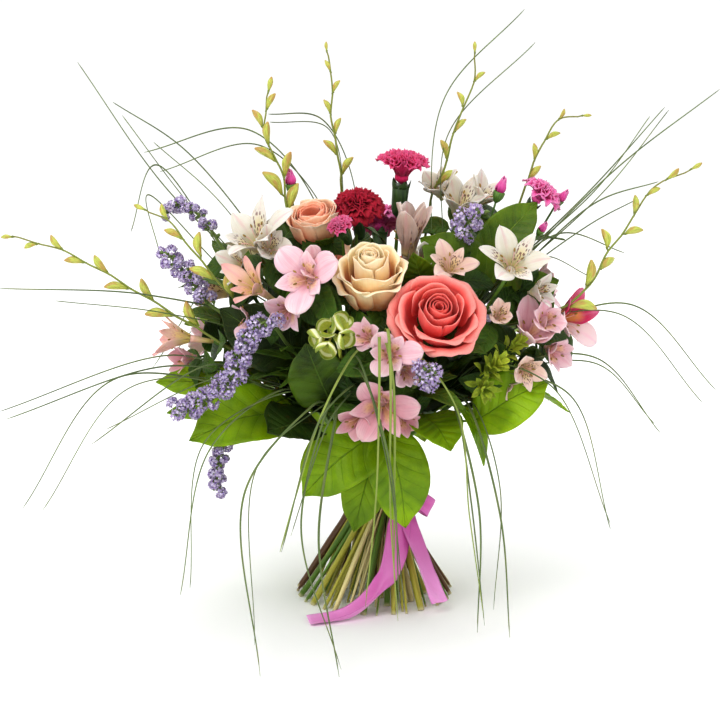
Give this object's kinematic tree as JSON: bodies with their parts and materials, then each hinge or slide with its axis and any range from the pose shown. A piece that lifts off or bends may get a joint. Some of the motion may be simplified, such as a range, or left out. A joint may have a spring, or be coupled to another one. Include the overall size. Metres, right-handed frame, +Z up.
{
  "type": "mixed flower bouquet",
  "caption": "Hand-tied mixed bouquet of roses, carnations, alstroemerias, statice, leaves and bear grass on a spiralled bundle of cut stems with a satin ribbon.",
  "frame": {"origin": "the cut end of the middle stem, on the table", "axes": "+Z up along the middle stem, -Y towards the side the bouquet is shown from, +X to that viewer's right"},
  "size_m": [0.555, 0.453, 0.469],
  "materials": {
    "blush_petal": "velvety",
    "leaf": "waxy",
    "coral_petal": "velvety",
    "peach_petal": "velvety",
    "pink_petal": "velvety",
    "white_petal": "velvety",
    "grass": "matt",
    "bud": "waxy",
    "cream_petal": "velvety",
    "crimson_petal": "velvety",
    "hot_pink_petal": "velvety",
    "magenta_petal": "velvety",
    "mauve_petal": "velvety",
    "ribbon": "satin",
    "statice": "papery",
    "stem": "smooth green bark"
  },
  "bodies": {
    "root": {"back_blush_alstroemeria": "blush_petal", "back_collar_leaves": "leaf", "back_coral_rose": "coral_petal", "back_left_leaves": "leaf", "back_peach_rose": "peach_petal", "back_pink_alstroemeria": "pink_petal", "back_pink_carnation": "pink_petal", "back_right_leaves": "leaf", "back_white_alstroemeria": "white_petal", "bear_grass_back": "grass", "bear_grass_front": "grass", "bear_grass_left": "grass", "bear_grass_right": "grass", "bear_grass_upper_left": "grass", "bear_grass_upper_right": "grass", "blush_alstroemeria": "blush_petal", "blush_alstroemeria_low": "blush_petal", "bud_spray_back": "bud", "bud_spray_far_left": "bud", "bud_spray_far_right": "bud", "bud_spray_left": "bud", "bud_spray_top": "bud", "bud_spray_top_right": "bud", "bud_spray_upper_left": "bud", "bud_spray_upper_right": "bud", "coral_rose": "coral_petal", "cream_rose": "cream_petal", "crimson_carnation": "crimson_petal", "dark_leaves_left": "leaf", "dusty_pink_alstroemeria": "pink_petal", "front_collar_leaves": "leaf", "green_floret_cluster": "bud", "hot_pink_carnation": "hot_pink_petal", "left_collar_leaves": "leaf", "magenta_alstroemeria": "magenta_petal", "magenta_carnation": "magenta_petal", "mauve_alstroemeria_low": "mauve_petal", "pale_pink_alstroemeria": "pink_petal", "peach_freesia": "peach_petal", "peach_rose": "peach_petal", "pink_alstroemeria_front": "pink_petal", "pink_carnation": "pink_petal", "pink_freesia": "pink_petal", "ribbon": "ribbon", "right_collar_leaves": "leaf", "statice_back_left": "statice", "statice_back_right": "statice", "statice_front": "statice", "statice_front_left": "statice", "statice_hanging": "statice", "statice_left": "statice", "statice_right": "statice", "statice_upper_left": "statice", "stem_bundle": "stem", "upper_right_leaves": "leaf", "white_alstroemeria_left": "white_petal", "white_alstroemeria_side": "white_petal", "white_alstroemeria_star": "white_petal", "white_alstroemeria_top": "white_petal"}
  },
  "joints": []
}
